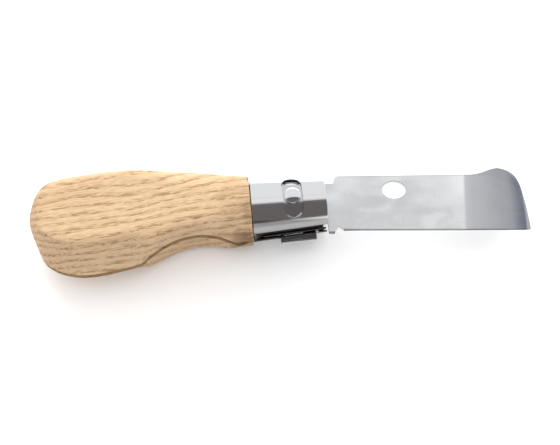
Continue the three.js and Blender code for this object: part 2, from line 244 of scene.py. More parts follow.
ring_wall = 0.8
ferrule_wall = 0.8
running_gap = 0.25
turn = np.linspace(0, math.pi / 2, 5)[1:]
tenon_at = np.array([shoulder_x, shoulder_x, tenon_x - tenon_bevel, tenon_x])
tenon_radius = ring_radius(tenon_at) - ring_wall - running_gap - ferrule_wall - joint_gap
tenon_radius[0] += tenon_fillet
tenon_radius[3] -= tenon_bevel
front_x = np.concatenate([shoulder_x - edge_break * (1 - np.sin(turn)), tenon_at])
front_half = np.concatenate([shoulder_half - edge_break * (1 - np.cos(turn)), tenon_radius])
front_up = np.concatenate([shoulder_radius - edge_break * (1 - np.cos(turn)), tenon_radius])
keep = middle_x < shoulder_x - edge_break
belly = np.vstack([belly[keep], np.stack([front_x, -front_up], 1)])
upward = np.vstack([upward[keep], np.tile([0.0, 1.0], (len(front_x), 1))])
height = np.concatenate([height[keep], 2 * front_up])
half = np.concatenate([half[keep], front_half])
upper = np.concatenate([upper[keep], front_half])
lower = np.concatenate([lower[keep], front_half])

# Finger groove: its top line along the handle, as a height over the belly line.
groove_rear, groove_top, groove_front = (shoulder_x - d for d in (42.2, 19.7, 4.2))
groove_y = -8.8
groove = np.vstack([
    bezier((groove_rear, -belly_depth - 0.8), (groove_rear + 7, -belly_depth + 5.8),
           (groove_top - 9, groove_y), (groove_top, groove_y), 60),
    bezier((groove_top, groove_y), (groove_top + 6, groove_y),
           (groove_front - 6, -shoulder_radius + 1.5), (groove_front, -shoulder_radius - 1.6), 60),
])
below_all = -99
groove_line = np.interp(belly[:, 0], groove[:, 0], groove[:, 1], left=below_all, right=below_all)
cut = (groove_line - belly[:, 1]) / upward[:, 1]
tiny = 1e-6                    # stands in for a corner's radius of 0 where that is divided by


def around(distance):
    """Half of a rounded rectangle, walked from the middle of its lower side: lower side, lower
    corner, cheek, upper corner, upper side. distance is (stations, points), in millimetres;
    the result is the height above the lower side and the distance out from the middle."""
    side_low = (half - lower)[:, None]
    arc_low = (math.pi / 2 * lower)[:, None]
    cheek = (height - lower - upper)[:, None]
    arc_up = (math.pi / 2 * upper)[:, None]
    side_run = np.clip(distance, 0, side_low)
    low_run = np.clip(distance - side_low, 0, arc_low)
    low_turn = low_run / np.maximum(lower, tiny)[:, None]
    cheek_run = np.clip(distance - side_low - arc_low, 0, cheek)
    up_run = np.clip(distance - side_low - arc_low - cheek, 0, arc_up)
    up_turn = up_run / np.maximum(upper, tiny)[:, None]
    top_run = np.maximum(distance - side_low - arc_low - cheek - arc_up, 0)
    up = lower[:, None] * (1 - np.cos(low_turn)) + cheek_run + upper[:, None] * np.sin(up_turn)
    out = (side_run + lower[:, None] * np.sin(low_turn)
           - upper[:, None] * (1 - np.cos(up_turn)) - top_run)
    return up, out


# Where the groove's flat meets the outside there is a true corner: two sets of columns end on
# it, with a small rounding between them. Elsewhere those columns lie on the plain section.
plain_corner = 0.14            # of the girth, where there is no groove
rounding_share = 0.02          # of the girth
largest_rounding = 0.5
flat_columns, edge_columns, outer_columns = 26, 6, 72
girth = half - lower + math.pi / 2 * (lower + upper) + height - lower - upper + half - upper
depth = np.clip(cut, 0, None)
on_arc = np.arccos(np.clip(1 - depth / np.maximum(lower, tiny), -1, 1))
corner = half - lower + np.where(depth < lower, lower * on_arc, math.pi / 2 * lower + depth - lower)
corner = np.where(cut > 0, np.maximum(corner, plain_corner * girth), plain_corner * girth)
rounding = np.minimum(largest_rounding, rounding_share * girth)
corner_up, corner_out = (part[:, 0] for part in around(corner[:, None]))
flat_out = np.linspace(0, 1, flat_columns)[None, :] * (corner_out - rounding)[:, None]
reach = np.clip((flat_out - (half - lower)[:, None]) / np.maximum(lower, tiny)[:, None], 0, 1)
flat_up = np.maximum(lower[:, None] * (1 - np.sqrt(1 - reach ** 2)), depth[:, None])
past_corner = np.linspace(0, 1, outer_columns)[None, :] * (girth - corner - rounding)[:, None]
outer_up, outer_out = around((corner + rounding)[:, None] + past_corner)
t = np.linspace(0, 1, edge_columns)[None, 1:-1]
before, at, after = (1 - t) ** 2, 2 * t * (1 - t), t ** 2
edge_up = flat_up[:, -1:] * before + corner_up[:, None] * at + outer_up[:, :1] * after
edge_out = flat_out[:, -1:] * before + corner_out[:, None] * at + outer_out[:, :1] * after
half_up = np.hstack([flat_up, edge_up, outer_up])
half_out = np.hstack([flat_out, edge_out, outer_out])

# Behind the groove the belly is pared to a slope on each side, from a crease on the cheek down
# to the saw cut. Each point keeps its length along the section: it moves from the rounded
# corner on to the sloping line, and the crease is eased by a moving average.
pared_from, pared_full = 0.46, 0.56
butt_from, butt_full = 0.3, 6.0
ridge_front, ridge_more = 0.6, 1.9
ridge_from, ridge_full = 0.5, 0.82
slope_height = 8.8
saw_half = 1.2
least_width = 0.01
fade_from, fade_full = 0.5, 5.0
crease_passes = 3
share_back = (shoulder_x - belly[:, :1]) / (shoulder_x - butt_x)
near_butt = ease(belly[:, :1], butt_x + butt_from, butt_x + butt_full)
ridge = (ridge_front + ridge_more * ease(share_back, ridge_from, ridge_full)) * near_butt
pared = ease(share_back, pared_from, pared_full) * near_butt
walked = np.hstack([0 * ridge, np.cumsum(np.hypot(np.diff(half_up), np.diff(half_out)), axis=1)])
wide = half[:, None]
slope_length = np.hypot(np.maximum(wide - saw_half, least_width), slope_height)
on_slope = np.clip((walked - saw_half) / slope_length, 0, 1)
above = np.maximum(walked - saw_half - slope_length, 0)
slope_up = slope_height * on_slope - ridge + above
slope_out = np.minimum(walked, saw_half) + on_slope * (wide - saw_half)
for _ in range(crease_passes):
    slope_up[:, 1:-1] = (slope_up[:, :-2] + 2 * slope_up[:, 1:-1] + slope_up[:, 2:]) / 4
    slope_out[:, 1:-1] = (slope_out[:, :-2] + 2 * slope_out[:, 1:-1] + slope_out[:, 2:]) / 4
slope_end = saw_half + slope_length
fade = pared * (1 - ease(walked, slope_end + fade_from, slope_end + fade_full))
half_up = half_up + fade * (slope_up - half_up)
half_out = half_out + fade * (slope_out - half_out)
half_up = np.where(cut[:, None] > 0, np.maximum(half_up, depth[:, None]), half_up)
loop_up = np.hstack([half_up, half_up[:, -2:0:-1]])
loop_out = np.hstack([half_out, -half_out[:, -2:0:-1]])
handle = skin("ash_handle", from_collar(
    belly[:, :1] + upward[:, :1] * loop_up, belly[:, 1:] + upward[:, 1:] * loop_up, loop_out),
    from_collar(butt_x, butt_centre, 0.0), from_collar(tenon_x, 0.0, 0.0))

# Saw cut: shallow over the tang, deeper behind it, open along the belly.
blade_low, blade_high = collar_box("blade")
kerf_half = (blade_high[2] - blade_low[2]) / 2 + kerf_gap
kerf_front_y = 6.4
kerf_rear_y = 10.3
kerf_end_x = -89.8
kerf_round = 3
kerf_round_middle = 0.9
past_tenon_x = ring_high[0] + 3
past_belly_y = -40
kerf = np.array([
    (past_tenon_x, past_belly_y), (past_tenon_x, kerf_front_y), (-ring_high[0], kerf_front_y),
    (-ring_high[0], kerf_rear_y), (kerf_end_x + kerf_round, kerf_rear_y),
    (kerf_end_x + kerf_round_middle, kerf_rear_y - kerf_round_middle),
    (kerf_end_x, kerf_rear_y - kerf_round), (kerf_end_x, past_belly_y)])


def poly_prism(outline, low, high):
    """A prism over a hollow-cornered outline: one flat face at each end and quads between."""
    count = len(outline)
    points = np.vstack([from_collar(outline[:, 0], outline[:, 1], level) for level in (low, high)])
    sides = [(i, (i + 1) % count, (i + 1) % count + count, i + count) for i in range(count)]
    mesh = bpy.data.meshes.new("cutter")
    mesh.from_pydata(points, [], [list(range(count))[::-1], list(range(count, 2 * count))] + sides)
    made = bpy.data.objects.new("cutter", mesh)
    bpy.context.scene.collection.objects.link(made)
    return made


carve(handle, poly_prism(kerf, -kerf_half, kerf_half))


def disc(radius_x, radius_y, count=64):
    """Points round an ellipse."""
    angle = np.linspace(0, 2 * math.pi, count + 1)[:-1]
    return np.stack([radius_x * np.cos(angle), radius_y * np.sin(angle)], 1)


def through_pivot(a, b, height):
    """Places a cutter round the pivot's axis."""
    return from_collar(a, b - pivot_drop, height)


shank_radius = 2.0
past_collar = 20
shank_hole = disc(shank_radius + joint_gap, shank_radius + joint_gap)
carve(handle, prism(shank_hole, -past_collar, past_collar, through_pivot))
soften(handle, 38)


class Shade:
    """One value in a material. Arithmetic on it adds Math nodes, and node() adds any other."""

    def __init__(self, tree, socket=None):
        self.tree, self.socket = tree, socket

    def node(self, kind, settings=(), inputs=(), output=0):
        """Adds a node: its settings first, then a link or a value for each named socket."""
        made = self.tree.nodes.new("ShaderNode" + kind)
        for key, value in dict(settings).items():
            if key == "stops":
                ramp = made.color_ramp.elements
                ramp[0].position, ramp[-1].position = value[0][0], value[-1][0]
                for stop in value[1:-1]:
                    ramp.new(stop[0])
                for element, (_, shade) in zip(ramp, value):
                    element.color = (*shade, 1) if np.ndim(shade) else (shade, shade, shade, 1)
            else:
                setattr(made, key, value)
        for key, value in dict(inputs).items():
            if isinstance(value, Shade):
                self.tree.links.new(value.socket, made.inputs[key])
            else:
                made.inputs[key].default_value = value
        return Shade(self.tree, made.outputs[output])

    def math(self, operation, a, b=0.0, clamp=False):
        """A Math node on two values, each a number or a Shade."""
        return self.node("Math", {"operation": operation, "use_clamp": clamp}, {0: a, 1: b})

    def __add__(self, other):
        return self.math("ADD", self, other)

    def __radd__(self, other):
        return self.math("ADD", other, self)

    def __sub__(self, other):
        return self.math("SUBTRACT", self, other)

    def __rsub__(self, other):
        return self.math("SUBTRACT", other, self)

    def __mul__(self, other):
        return self.math("MULTIPLY", self, other)

    def __rmul__(self, other):
        return self.math("MULTIPLY", other, self)

    def ramp(self, *stops):
        """This value through a colour ramp of (place, grey or colour) stops."""
        return self.node("ValToRGB", {"stops": stops}, {"Fac": self})

    def between(self, low, high):
        """0 below low and 1 above high, with a smooth step between them."""
        return self.node("MapRange", {"interpolation_type": "SMOOTHSTEP"},
                         {"Value": self, "From Min": low, "From Max": high})

    def mixed(self, a, b):
        """Colour a where this value is 0, and colour b where it is 1."""
        a, b = (end if isinstance(end, Shade) else (*end, 1) for end in (a, b))
        return self.node("Mix", {"data_type": "RGBA"}, {0: self, 6: a, 7: b}, output=2)


def finish_of(name, **constants):
    """A new material: its constants are set on the shader's own sockets. Returns the material,
    the shader node, and a Shade to build its patterns with."""
    material = bpy.data.materials.new(name)
    material.use_nodes = True
    shader = material.node_tree.nodes["Principled BSDF"]
    for key, value in constants.items():
        shader.inputs[key.replace("_", " ")].default_value = value
    return material, shader, Shade(material.node_tree)


def connect(shader, **links):
    """Links values to the shader's sockets, by name."""
    for key, value in links.items():
        value.tree.links.new(value.socket, shader.inputs[key.replace("_", " ")])


def placed(start, origin, turn_z=0.0, scale=(1000, 1000, 1000)):
    """Object coordinates in millimetres from a point, turned about Z by turn_z degrees."""
    angle = math.radians(turn_z)
    x, y, z = -np.array(origin) * np.array(scale)
    cos, sin = math.cos(angle), math.sin(angle)
    objects = start.node("TexCoord", output=3)
    return start.node("Mapping", (), {
        "Vector": objects, "Location": (x * cos - y * sin, x * sin + y * cos, z),
        "Rotation": (0, 0, angle), "Scale": scale})


def noise(place, stretch, detail=3.0, roughness=0.5, distortion=0.0, output=0):
    """Noise over a place whose features are about 1/stretch millimetres long on each axis."""
    scaled = place.node("Mapping", (), {"Vector": place, "Scale": stretch})
    return place.node("TexNoise", (), {
        "Vector": scaled, "Scale": 1.0, "Detail": detail, "Roughness": roughness,
        "Distortion": distortion}, output)


# Ash: growth rings slope across the cheeks, each with a band of open pores that shows as short
# dark strokes along the grain, over fine straight fibre.
growth_ring = 2.7
pith_offset = (0, 62, 34)
ash, ash_shader, start = finish_of("oiled_ash", Specular_IOR_Level=0.35)
grain = placed(start, collar_centre, turn_z=-5.0)
wander = noise(grain, (0.022, 0.06, 0.06), detail=2.0, output=1)
ripple = noise(grain, (0.10, 0.45, 0.45), detail=2.0, output=1)
scaled_sum = "VectorMath", {"operation": "MULTIPLY_ADD"}
bent = grain.node(*scaled_sum, {0: wander, 1: (0, 7.0, 7.0), 2: grain})
bent = grain.node(*scaled_sum, {0: ripple, 1: (0, 1.3, 1.3), 2: bent})
from_pith = grain.node(*scaled_sum, {0: bent, 1: (0, 1, 1), 2: pith_offset})
radius = grain.node("VectorMath", {"operation": "LENGTH"}, {0: from_pith}, output=1)
year = grain.math("FRACT", radius * (1 / growth_ring))
early = year.ramp((0.0, 0.3), (0.06, 1.0), (0.30, 0.7), (0.55, 0.15), (0.85, 0.0), (1.0, 0.3))
pores = noise(grain, (0.30, 2.5, 2.5), detail=1.5).between(0.49, 0.57)
strokes = noise(grain, (0.19, 1.5, 1.5), detail=2.5).between(0.47, 0.62)
fibre = noise(grain, (0.06, 1.8, 1.8), detail=5.0, roughness=0.7)
cloud = noise(grain, (0.02, 0.06, 0.06), detail=2.0)
dark = grain.math("ADD", pores * (early * 0.72 + 0.20), strokes * early * 0.42, clamp=True)
tone = (fibre - 0.5) * 1.3 + (cloud - 0.5) * 0.7 + early * 0.20 + 0.30
plain = tone.ramp(
    (0.0, (0.60, 0.445, 0.275)), (0.45, (0.53, 0.358, 0.205)), (1.0, (0.37, 0.225, 0.110)))
along = start.node("SeparateXYZ", (), {"Vector": grain})
low_down = start.node("SeparateXYZ", (), {"Vector": grain}, output=1)
# The neck in front of the groove is darker in noisy patches, most on its belly side.
neck_patch_noise = noise(grain, (0.12, 0.3, 0.3), detail=3.0).between(0.38, 0.60)
neck_dark_patches = along.between(-30.0, -17.0) * neck_patch_noise
neck_dark_patches = neck_dark_patches * (1 - low_down.between(-8.0, 2.0)) + neck_dark_patches * 0.35
wood = (dark * 0.78).mixed(plain, (0.235, 0.13, 0.058))
wood = (neck_dark_patches * 0.8).mixed(wood, (0.19, 0.11, 0.055))
# Painted shade: from the shoulder forward the wood is painted near black, for the shade in the joint
# with the ferrule.
wood = along.between(shoulder_x + 0.1, shoulder_x + 0.7).mixed(wood, (0.07, 0.055, 0.045))
relief = start.node("Bump", (), {
    "Strength": 0.55, "Distance": 0.00012, "Height": 1 - dark + fibre * 0.35})
connect(ash_shader, Base_Color=wood, Roughness=0.52 + dark * 0.25 + fibre * 0.1, Normal=relief)
handle.data.materials.append(ash)
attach(handle, "handle_body")
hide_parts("handle")

# ---------------------------------------------------------------------------- ferrule
# Thin steel tube, drawn to a slight cone, split along the blade's side and pressed on the tenon.
# It shows through the lock ring's slots and gap.

ferrule_low, ferrule_high = collar_box("ferrule")
ferrule_gap = 3.0


def rolled_sheet(name, rear, front, outer, wall, gap):
    """A conical tube with a gap of constant width along its lower side. With w half of the
    wall and m(x) = outer(x) - w, a loop at x holds the points m + w sin p at the angle
    a - b cos p / m: p turns from near 0 to 90 degrees at one edge of the gap, stays there while
    a runs round, and turns back at the other edge. The second half has m - w sin p. At both
    rims w shrinks on a quarter circle."""
    w, edge, bulge = wall / 2, 0.2, 0.25
    quarter = np.linspace(0, math.pi / 2, 5)
    body = np.linspace(rear + edge, front - edge, 58)[1:-1]
    near_rim = edge * (1 - np.cos(quarter))
    thick = w - edge + edge * np.sin(quarter)
    x = np.concatenate([rear + near_rim, body, (front - near_rim)[::-1]])[:, None]
    half_wall = np.concatenate([thick, np.full(len(body), w), thick[::-1]])[:, None]
    mid = outer(x) - w
    first = np.arcsin(gap / 2 / mid) + bulge / mid
    share = np.linspace(0, 1, 260)[None, :]
    lip_turn = np.radians([12, 40, 68])[None, :]
    curl = bulge * np.cos(lip_turn) / mid
    angle = np.hstack([first - curl, first + share * (2 * math.pi - 2 * first),
                       2 * math.pi - first + curl[:, ::-1]])
    side = np.hstack([np.sin(lip_turn), 0 * share + 1, np.sin(lip_turn)[:, ::-1]])
    outside, inside = mid + half_wall * side, mid - half_wall * side
    radius = np.hstack([outside, inside[:, ::-1]])
    angle = np.hstack([angle, angle[:, ::-1]])
    loops = from_collar(x, -radius * np.cos(angle), radius * np.sin(angle))
    return skin(name, loops, flat_ends=True)


def ferrule_radius(x):
    """Outer radius of the ferrule's cone: the ring's, less the ring's wall and running gap."""
    return ring_radius(x) - ring_wall - running_gap


ferrule = rolled_sheet(
    "ferrule_tube", ferrule_low[0], ferrule_high[0], ferrule_radius, ferrule_wall, ferrule_gap)
carve(ferrule, prism(shank_hole, -past_collar, past_collar, through_pivot))
soften(ferrule, 40)


def drawn_steel(name, tint, base_roughness, scratch, painted_shade_amount=0.0):
    """Bright steel with fine lines along the collar and faint smears from handling. Its last
    argument is how far the side towards the gap is painted dark, as painted shade and a painted dark
    reflection."""
    material, shader, begin = finish_of(name, Metallic=1.0)
    place = placed(begin, collar_centre)
    lines = noise(place, (0.03, 5.0, 5.0), detail=4.0, roughness=0.6)
    smear = noise(place, (0.09, 0.16, 0.16), detail=3.0)
    rub = noise(place, (0.7, 1.5, 1.5), detail=2.0).between(0.55, 0.8)
    colour = (smear * 0.7 + lines * 0.3).mixed(tuple(0.90 * c for c in tint), tint)
    low_side = place.node("SeparateXYZ", (), {"Vector": place}, output=1)
    # Painted shade: more than about 8.5 mm from the axis towards the gap, the steel is painted dark
    # in streaks, for the shaded gap and the dark room mirrored on the ring's underside. The lip's
    # tip keeps its colour.
    painted_shade_mask = (1 - low_side.between(-8.9, -8.1)) * (0.75 + lines * 0.4)
    painted_shade_mask = painted_shade_mask * low_side.between(-12.5, -12.0)
    colour = (painted_shade_mask * painted_shade_amount).mixed(colour, (0.10, 0.10, 0.10))
    height = lines * 0.6 + smear * 2.0
    relief_of = begin.node("Bump", (), {"Strength": scratch, "Distance": 0.00002, "Height": height})
    connect(shader, Base_Color=colour, Normal=relief_of,
            Roughness=base_roughness + (lines - 0.5) * 0.05 + smear * 0.04 + rub * 0.05)
    return material


ferrule.data.materials.append(drawn_steel("drawn_steel", (0.64, 0.64, 0.65), 0.14, 0.5, painted_shade_amount=1.1))
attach(ferrule, "handle_body")
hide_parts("ferrule")

# ---------------------------------------------------------------------------- pivot rivet
# One steel rivet through ferrule, wood and tang. Both ends are peened to polished domes, each
# with the tiny mark of the tool's centre.

rivet_low, rivet_high = collar_box("pivot_rivet")
head_radius = (rivet_high[0] - rivet_low[0]) / 2
head_top = rivet_high[2]
crown = 1.2
seat_sink = 0.25
seat_z = ferrule_radius(0) - seat_sink
rim_round = 0.18
rim_drop = 0.16
dimple_depth = 0.10
dimple_spread = 0.34


def turned_rivet():
    """Radius against height, turned about the rivet's axis: dimple, dome, rounded rim, side,
    underside and shank, and the same again mirrored. At a radius r the dome lies below its top
    by R - sqrt(R squared - r squared), where R is its sphere's radius."""
    sphere = (head_radius ** 2 + crown ** 2) / (2 * crown)
    across = np.linspace(0.02, 1, 40)
    dome_r = across * (head_radius - rim_round)
    dome_z = head_top - (sphere - np.sqrt(sphere ** 2 - dome_r ** 2))
    dome_z -= dimple_depth * np.exp(-(dome_r / dimple_spread) ** 2)
    rim = np.linspace(0, math.pi / 2, 7)[1:]
    rim_r = head_radius - rim_round + rim_round * np.sin(rim)
    rim_z = dome_z[-1] - rim_drop * (1 - np.cos(rim))
    radius = np.concatenate([dome_r, rim_r, [head_radius, head_radius, shank_radius]])
    z = np.concatenate([dome_z, rim_z, [rim_z[-1] - 0.1, seat_z, seat_z]])
    radius = np.concatenate([radius, radius[::-1]])
    z = np.concatenate([z, -z[::-1]])
    angle = np.linspace(0, 2 * math.pi, 97)[:-1]
    return (radius[:, None] * np.cos(angle), radius[:, None] * np.sin(angle) - pivot_drop,
            z[:, None] + 0 * angle)


rivet = skin("peened_rivet", from_collar(*turned_rivet()),
             from_collar(0.0, -pivot_drop, head_top - dimple_depth),
             from_collar(0.0, -pivot_drop, dimple_depth - head_top))
soften(rivet, 50)
rivet.data.materials.append(drawn_steel("polished_rivet_steel", (0.80, 0.80, 0.82), 0.08, 0.25))
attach(rivet, "handle_body")
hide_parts("pivot_rivet")

# ---------------------------------------------------------------------------- blade
# Sheet steel, 2 mm at the tang, ground thinner towards its long edge. In front of a straight
# line across the blade it is ground thinner again, out to the sharpened, rounded end.

droop_degrees = 4.5
droop = math.radians(droop_degrees)
blade_reach = 87.4
spine_y = 12.9
edge_heel_y = -9.3
edge_tip_y = -10.1
neck_x = ring_high[0] + joint_gap
neck_end = 0.5 - ring_low[0]
neck_top_y = 9.8
heel_y = -10.4
tang_radius = 6.5
tang_low_y = -6.2
ground_x = 63.2
ground_top_x = 65.0
hump_x, hump_y = blade_reach - 9.0, spine_y + 2.8
hump_run = 11.5
hole_x, hole_y = 38.2, 6.7
hole_length, hole_height = 8.8, 7.2
stock_half = (blade_high[2] - blade_low[2]) / 2
edge_thinning = 0.42
end_thinning = 0.25
bevel_half = 0.12
edge_round = 0.2
hole_chamfer = 0.15


def from_pivot(x, y, z):
    """Points in millimetres from the pivot, x along the blade and y towards its spine."""
    return from_collar(x * math.cos(droop) + y * math.sin(droop),
                       y * math.cos(droop) - x * math.sin(droop) - pivot_drop, z)


def beside_collar(x, y):
    """A point in the collar's directions, seen from the drooping blade."""
    return (x * math.cos(droop) - (y + pivot_drop) * math.sin(droop),
            x * math.sin(droop) + (y + pivot_drop) * math.cos(droop))


def quadratic(a, b, c, count=9):
    """Points on a quadratic Bezier curve from a to c, without the first."""
    t = np.linspace(0, 1, count)[1:, None]
    a, b, c = (np.array(p, float) for p in (a, b, c))
    return a * (1 - t) ** 2 + 2 * b * t * (1 - t) + c * t ** 2


def by_length(curve, share):
    """Points at the given shares of a broken line's length."""
    length = np.concatenate([[0], np.cumsum(np.linalg.norm(np.diff(curve, axis=0), axis=1))])
    return np.column_stack([np.interp(share * length[-1], length, curve[:, i]) for i in (0, 1)])


# Both long outlines, from the tang's round back to the line where the end is ground. They share
# their corners: tang, neck face, step or notch, plain blade.
tang_turn = np.linspace(0.12, math.pi / 2, 14)
tang_x, tang_rise = -tang_radius * np.cos(tang_turn), tang_radius * np.sin(tang_turn)
fall = pivot_drop + neck_x * math.tan(droop)
notch_x, notch_y = neck_end + 1.4, edge_heel_y + 1.1
heel, edge_start = (neck_end, heel_y), (neck_end + 3.4, edge_heel_y)
spine_step, spine_start = (neck_end, neck_top_y), (neck_end + 2.0, spine_y)
ground_low_y = edge_heel_y + (edge_tip_y - edge_heel_y) * (ground_x - edge_start[0]) / (
    blade_reach - edge_start[0])
low_line = [
    np.column_stack([tang_x, np.maximum(-tang_rise, tang_low_y)]),
    [beside_collar(neck_x - 0.05, tang_low_y - fall)],
    [beside_collar(neck_x, heel_y - fall)],
    [heel],
    np.vstack([quadratic(heel, (notch_x - 0.6, notch_y), (notch_x, notch_y)),
               quadratic((notch_x, notch_y), (notch_x + 0.4, notch_y), edge_start)]),
    [(ground_x, ground_low_y)]]
top_line = [
    np.column_stack([tang_x, tang_rise]),
    [beside_collar(neck_x - 0.05, tang_radius - pivot_drop)],
    [beside_collar(neck_x, neck_top_y - fall)],
    [spine_step],
    quadratic(spine_step, (neck_end + 0.4, spine_y), spine_start),
    [(ground_top_x, spine_y)]]
stretches = (8, 1, 4, 24, 60)


def walk(line):
    """Points along an outline, a set number for each stretch between two shared corners."""
    done = [line[0][:-1]]
    for before, part, count in zip(line[:-1], line[1:], stretches):
        stretch = np.vstack([np.array(before)[-1:], part])
        done.append(by_length(stretch, np.linspace(0, 1, count + 1)[:-1]))
    return np.vstack(done)


low_ends, top_ends = walk(low_line), walk(top_line)

# The ground end is a patch between the line across the blade (left), the edge (bottom), the
# hump (top) and the end's curve (right): (1 - u) left + u right + (1 - v) bottom + v top, less
# the blend of its four corners that this counts twice.
corner_radius = 0.5
corner_start = (blade_reach - corner_radius, edge_tip_y)
end_curve = np.vstack([
    [corner_start],
    quadratic(corner_start, (blade_reach, edge_tip_y), (blade_reach, edge_tip_y + corner_radius), 6),
    quadratic((blade_reach, edge_tip_y + corner_radius), (blade_reach - 0.2, 0.5),
              (blade_reach - 1.3, 7.5), 30),
    bezier((blade_reach - 1.3, 7.5), (blade_reach - 2.2, spine_y - 0.4), (hump_x + 4.6, hump_y),
           (hump_x, hump_y), 40)[1:]])
hump_start = hump_x - hump_run
hump_curve = np.vstack([[(ground_top_x, spine_y)], bezier(
    (hump_start, spine_y), (hump_start + 6, spine_y + 0.2), (hump_x - 4, hump_y),
    (hump_x, hump_y), 40)])
edge_curve = np.array([(ground_x, ground_low_y), corner_start])
v = np.linspace(0, 1, 64)
bevel_from = 0.94
u = np.concatenate([np.linspace(0, bevel_from, 40), np.linspace(bevel_from, 1, 12)[1:]])
left = by_length(np.array([(ground_x, ground_low_y), (ground_top_x, spine_y)]), v)
right = by_length(end_curve, v)
bottom, top = by_length(edge_curve, u), by_length(hump_curve, u)
mu, mv = u[:, None, None], v[None, :, None]
patch = ((1 - mu) * left + mu * right + (1 - mv) * bottom[:, None] + mv * top[:, None]
         - (1 - mu) * ((1 - mv) * left[0] + mv * left[-1])
         - mu * ((1 - mv) * right[0] + mv * right[-1]))

# Half of the thickness: full at the spine, less towards the long edge, and a wedge at the end.
face = np.vstack([low_ends[:, None] + mv * (top_ends - low_ends)[:, None], patch])
from_edge = np.clip(1 - (face[..., 1] + 10) / 18, 0, 1)
face_half = stock_half - edge_thinning * ease(face[..., 0], 17.5, 26.0) * from_edge
rows_before = np.zeros(len(low_ends))
ground = np.concatenate([rows_before, np.minimum(u / bevel_from, 1)])[:, None]
bevel = np.concatenate([rows_before, np.clip((u - bevel_from) / (1 - bevel_from), 0, 1)])[:, None]
face_half = face_half * (1 - end_thinning * ground)
face_half = face_half + (bevel_half - face_half) * bevel

# Both long edges are broken by a small round.
across = face[:, -1] - face[:, 0]
width = np.maximum(np.linalg.norm(across, axis=1), 0.01)[:, None]
inset = (across / width * np.minimum(edge_round, edge_round * width))[:, None, :]
round_turn = np.radians([30, 60, 90])
broken = np.sin(round_turn)[None, :, None]
drop = (1 - np.cos(round_turn))[None, :]
low_xy, top_xy = face[:, :1] + inset, face[:, -1:] - inset
low_half, top_half = face_half[:, :1], face_half[:, -1:]
side_xy = np.concatenate([(low_xy - inset * broken)[:, ::-1], low_xy, face[:, 1:-1], top_xy,
                          top_xy + inset * broken], axis=1)
low_drop = np.minimum(edge_round, 0.6 * low_half) * drop
top_drop = np.minimum(edge_round, 0.6 * top_half) * drop
side_z = np.concatenate([
    (low_half - low_drop)[:, ::-1], low_half, face_half[:, 1:-1], top_half, top_half - top_drop],
    axis=1)
plate_xy = np.concatenate([side_xy, side_xy[:, ::-1]], axis=1)
plate_z = np.concatenate([side_z, -side_z[:, ::-1]], axis=1)
blade = skin("hoof_blade", from_pivot(plate_xy[..., 0], plate_xy[..., 1], plate_z), flat_ends=True)


def flared_cutter(outline_of, cut_half, chamfer):
    """A cutter along Z, wider by the chamfer beyond each face of a plate. outline_of gives the
    outline for a given growth."""
    steps = ((-cut_half - 2 * chamfer, 3 * chamfer), (-cut_half + chamfer, 0.0),
             (cut_half - chamfer, 0.0), (cut_half + 2 * chamfer, 3 * chamfer))
    loops = np.stack([outline_of(growth, z) for z, growth in steps])
    return skin("cutter", loops, loops[0].mean(0), loops[-1].mean(0))


def oval_at(growth, z):
    """The oval hole's outline, grown all round and set at a height."""
    points = disc(hole_length / 2 + growth, hole_height / 2 + growth, 96)
    return from_pivot(points[:, 0] + hole_x, points[:, 1] + hole_y, z)


def pin_hole_at(growth, z):
    """The rivet hole's outline, grown all round and set at a height."""
    points = disc(shank_radius + joint_gap + growth, shank_radius + joint_gap + growth)
    return from_pivot(points[:, 0], points[:, 1], z)


carve(blade, flared_cutter(oval_at, stock_half, hole_chamfer))
carve(blade, flared_cutter(pin_hole_at, stock_half, hole_chamfer))
soften(blade, 24)

# Satin steel: brushed across, with soft clouds from polishing. The ground end is darker, and
# darkest just inside its sharpened edge.
satin, satin_shader, start = finish_of("satin_blade_steel", Metallic=1.0)
along_blade = placed(start, pivot_centre, turn_z=droop_degrees)
place = start.node("SeparateXYZ", (), {"Vector": along_blade})
height_on = start.node("SeparateXYZ", (), {"Vector": along_blade}, output=1)
brushing = noise(along_blade, (5.0, 0.10, 1.0), detail=4.0, roughness=0.6)
coarse = noise(along_blade, (1.1, 0.05, 1.0), detail=3.0)
clouds = noise(along_blade, (0.06, 0.10, 0.5), detail=3.0, distortion=0.6)
smears = noise(along_blade, (0.075, 0.12, 0.5), detail=3.5, distortion=0.6).between(0.38, 0.66)
flecks = noise(along_blade, (0.9, 1.3, 1.0), detail=2.0).between(0.62, 0.78)
ground_line = place - (height_on - ground_low_y) * (
    (ground_top_x - ground_x) / (spine_y - ground_low_y))
ground_area = ground_line.between(ground_x - 0.5, ground_x + 0.7)
to_end = place + height_on * height_on * 0.004
dark_band = to_end.between(64.0, 85.5) * 0.55 + to_end.between(80.5, 85.4) * 0.45
end_bevel = to_end.between(85.9, 86.5)
# Painted reflection: a thin line along the long edge and along the heel is painted near black, for
# the dark room mirrored in the edge.
painted_edge_line = (1 - (height_on + place * 0.0118).between(-9.12, -8.92)) * place.between(17.6, 18.4)
painted_heel_line = 1 - height_on.between(heel_y + 0.02, heel_y + 0.22)
painted_edge_line = start.math("MAXIMUM", painted_edge_line, painted_heel_line)
polish = clouds * 0.45 + smears * 0.30 + brushing * 0.25
plain_steel = polish.mixed((0.90, 0.90, 0.895), (0.50, 0.505, 0.51))
